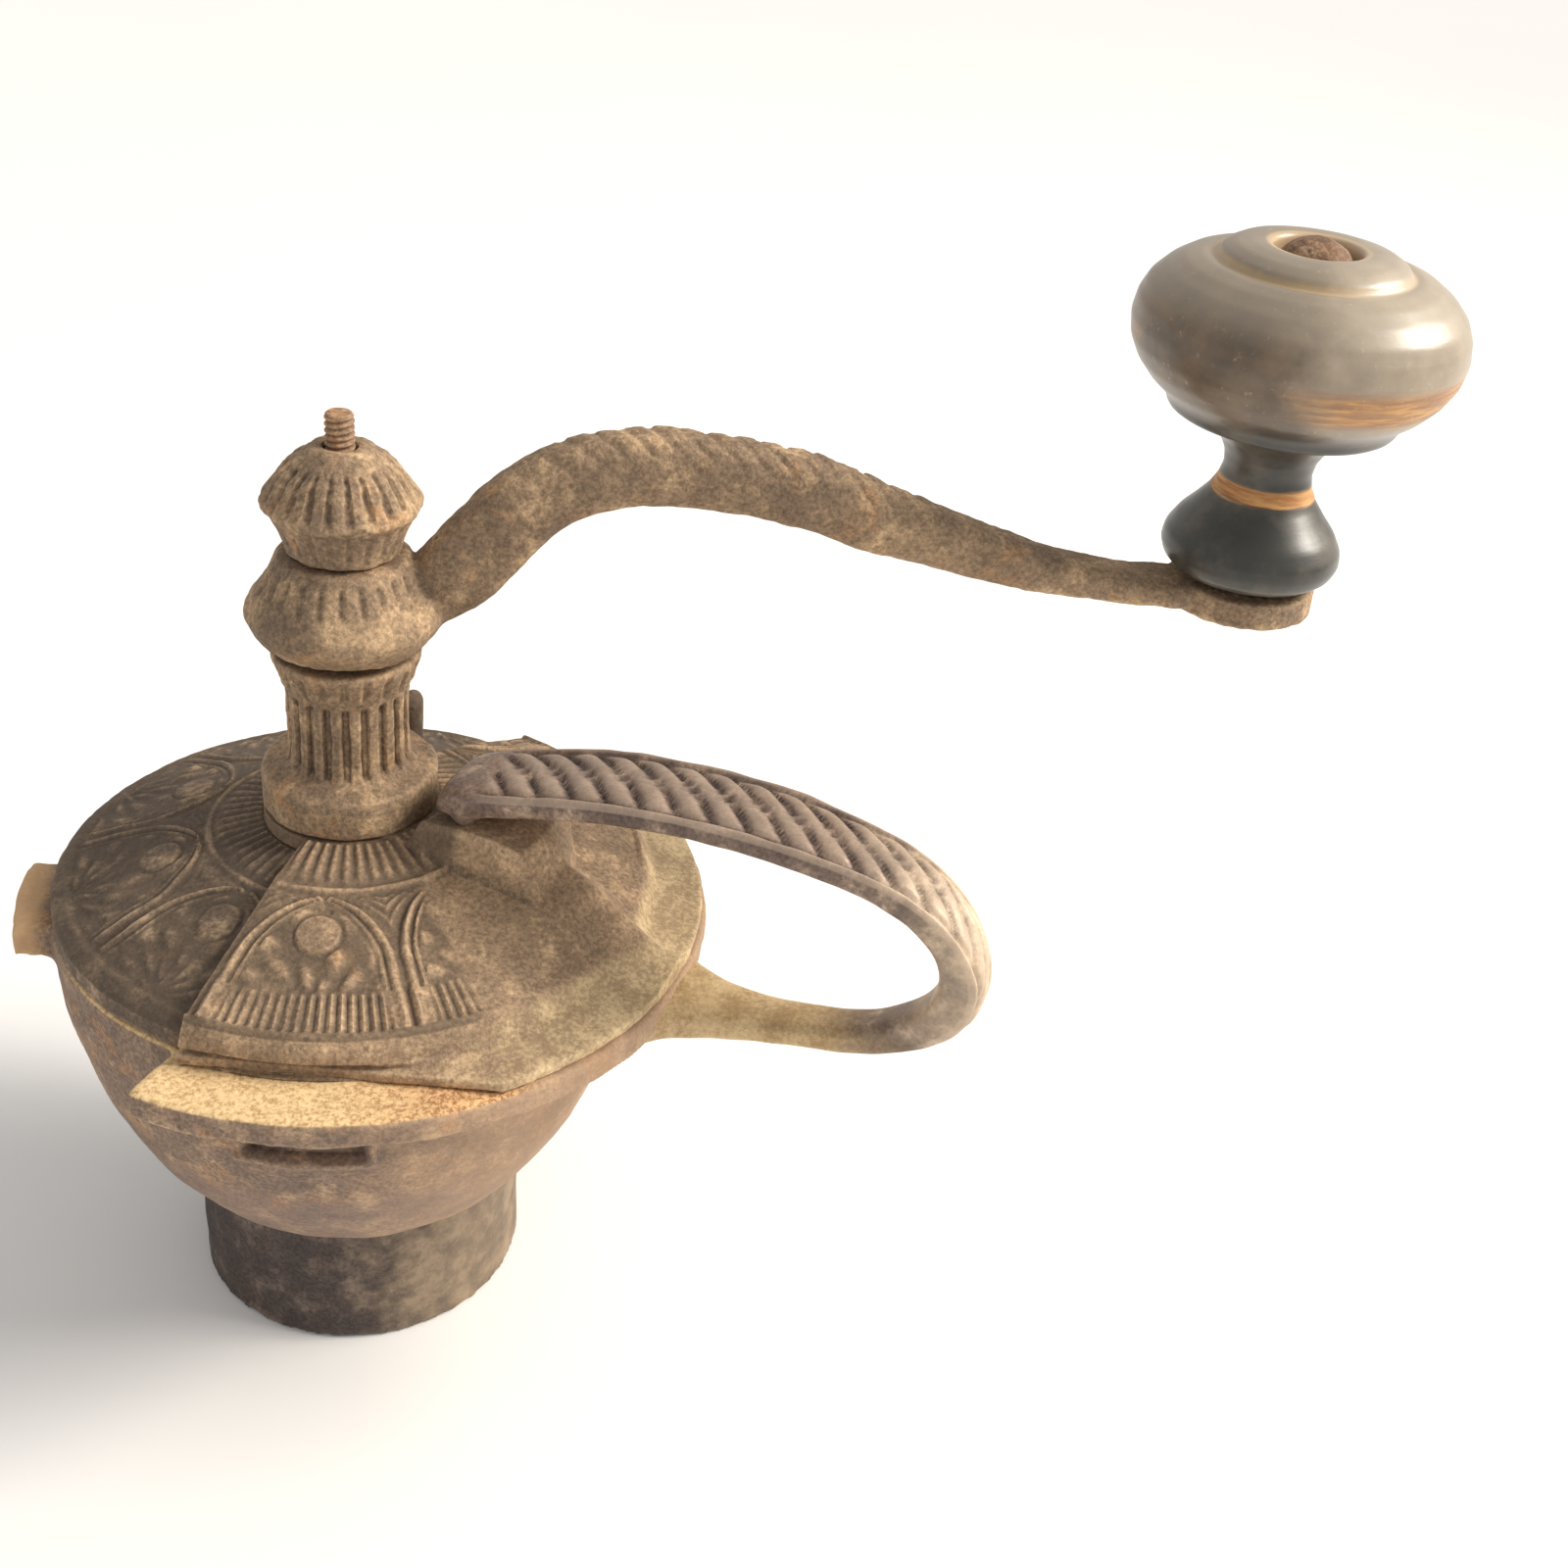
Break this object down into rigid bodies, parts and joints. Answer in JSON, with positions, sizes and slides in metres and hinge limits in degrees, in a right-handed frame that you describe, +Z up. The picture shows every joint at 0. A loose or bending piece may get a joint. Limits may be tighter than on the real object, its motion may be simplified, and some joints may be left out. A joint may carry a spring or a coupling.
{
  "type": "hand crank coffee grinder",
  "caption": "Cast-iron hand coffee mill head: hopper bowl with collar, half dome with turning shutter, fluted column, side handle, crank with turned wooden knob.",
  "frame": {"origin": "middle of the whole part's footprint, on the surface it stands on", "axes": "+Z up along the spindle, +X towards the crank's knob at rest"},
  "size_m": [0.2328, 0.1116, 0.2005],
  "materials": {
    "bowl_iron": "rusty, matt",
    "collar_iron": "dark, matt",
    "mill_steel": "dull, lightly rusted",
    "cover_iron": "rusty, raised ornament",
    "handle_iron": "dark, worn by the hand",
    "crank_iron": "rusty, matt",
    "rusty_fixings": "rusty, rough",
    "knob_wood": "old gloss paint worn to the wood"
  },
  "bodies": {
    "mill_head": {"hopper_bowl": "bowl_iron", "grinding_collar": "collar_iron", "outer_burr": "mill_steel", "adjusting_bridge": "collar_iron", "bridge_screw_1": "mill_steel", "bridge_screw_2": "mill_steel", "adjusting_lock_nut": "mill_steel", "collar_screw_1": "mill_steel", "collar_screw_2": "mill_steel", "collar_screw_3": "mill_steel", "dome_cover": "cover_iron", "cover_screw_1": "mill_steel", "cover_screw_2": "mill_steel", "cover_screw_3": "mill_steel", "fluted_column": "cover_iron", "shutter_retaining_ring": "collar_iron", "side_handle": "handle_iron", "handle_rivet": "rusty_fixings", "handle_pin": "mill_steel", "crank_washer": "mill_steel"},
    "thrust_carriage": {"thrust_pad": "mill_steel"},
    "adjuster": {"adjusting_screw": "mill_steel"},
    "crank": {"spindle": "mill_steel", "inner_burr": "mill_steel", "burr_drive_pin": "mill_steel", "crank_arm": "crank_iron", "cap_nut": "crank_iron", "knob_washer": "mill_steel", "knob_bolt": "rusty_fixings"},
    "crank_knob": {"knob": "knob_wood"},
    "bean_shutter": {"shutter": "cover_iron"}
  },
  "joints": [
    {"name": "adjuster_turn", "type": "hinge", "parent": "mill_head", "child": "adjuster", "pos_m": [-0.0604, 0.00575, 0.005], "axis": [0, 0, 1], "range_deg": [-72, 288]},
    {"name": "burr_lift", "type": "slide", "parent": "mill_head", "child": "thrust_carriage", "axis": [0, 0, 1], "range_m": [-0.0002, 0.0008]},
    {"name": "crank_turn", "type": "hinge", "parent": "thrust_carriage", "child": "crank", "pos_m": [-0.0604, 0.00575, 0.136], "axis": [0, 0, 1], "continuous": true},
    {"name": "knob_spin", "type": "hinge", "parent": "crank", "child": "crank_knob", "pos_m": [0.0896, 0.00575, 0.17], "axis": [0, 0, 1], "continuous": true},
    {"name": "shutter_turn", "type": "hinge", "parent": "mill_head", "child": "bean_shutter", "pos_m": [-0.0604, 0.00575, 0.092], "axis": [0, 0, 1], "range_deg": [0, 160]}
  ],
  "couplings": [
    {"joint": "adjuster_turn", "follows": "burr_lift", "rad_per_m": 6283.2}
  ]
}
